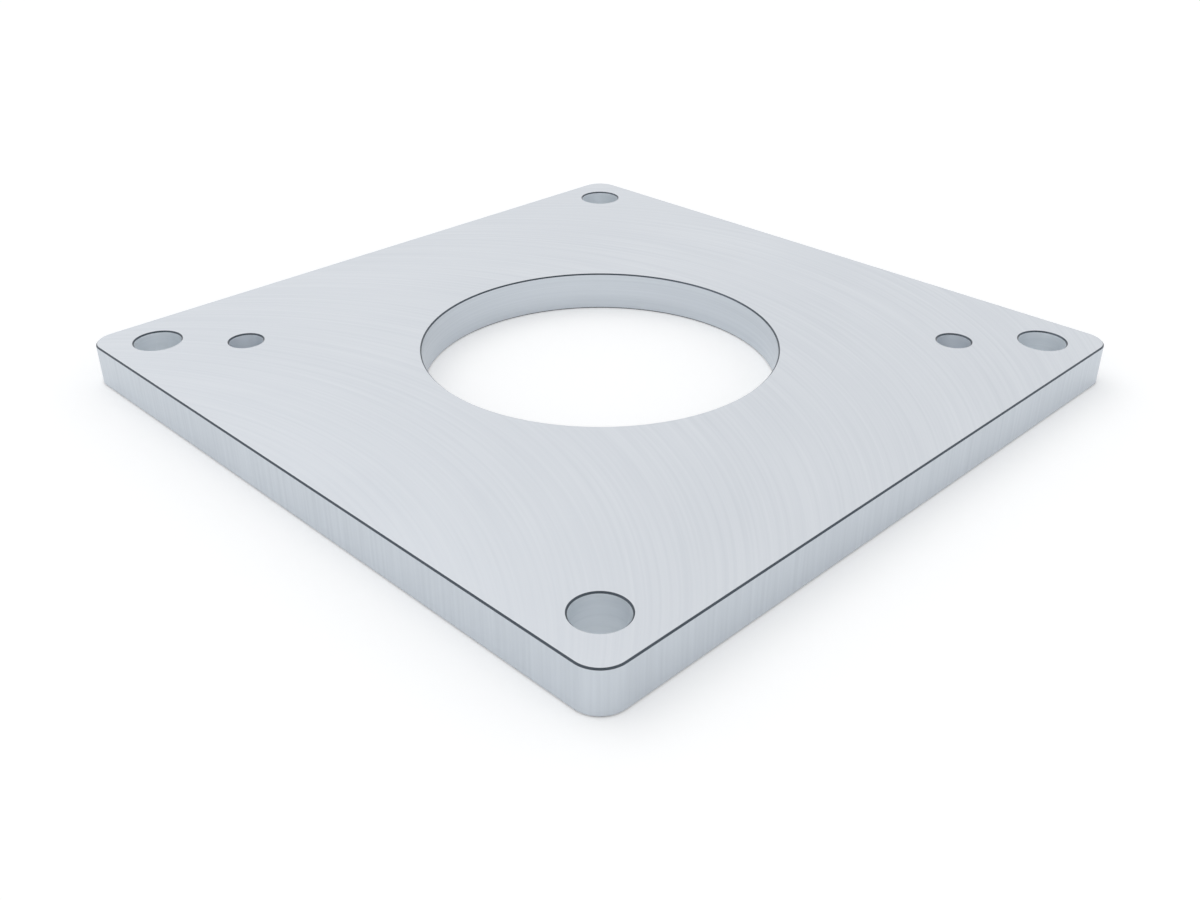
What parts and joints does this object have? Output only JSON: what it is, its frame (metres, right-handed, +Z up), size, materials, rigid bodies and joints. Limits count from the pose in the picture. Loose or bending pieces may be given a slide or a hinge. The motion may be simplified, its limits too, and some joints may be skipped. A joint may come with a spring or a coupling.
{
  "type": "gearbox mounting plate",
  "caption": "Flat square mounting plate with rounded corners, a large centre bore, corner bolt holes and diagonal locating-pin holes.",
  "frame": {"origin": "centre of the plate on its underside", "axes": "+Z up through the centre bore, square to the faces; X and Y along the sides, with the locating-pin holes on the diagonal from -X +Y to +X -Y"},
  "size_m": [0.174, 0.174, 0.01],
  "materials": {
    "machined_aluminium": "finely machined, satin, with bevelled edges"
  },
  "bodies": {
    "root": {"mounting_plate": "machined_aluminium"}
  },
  "joints": []
}
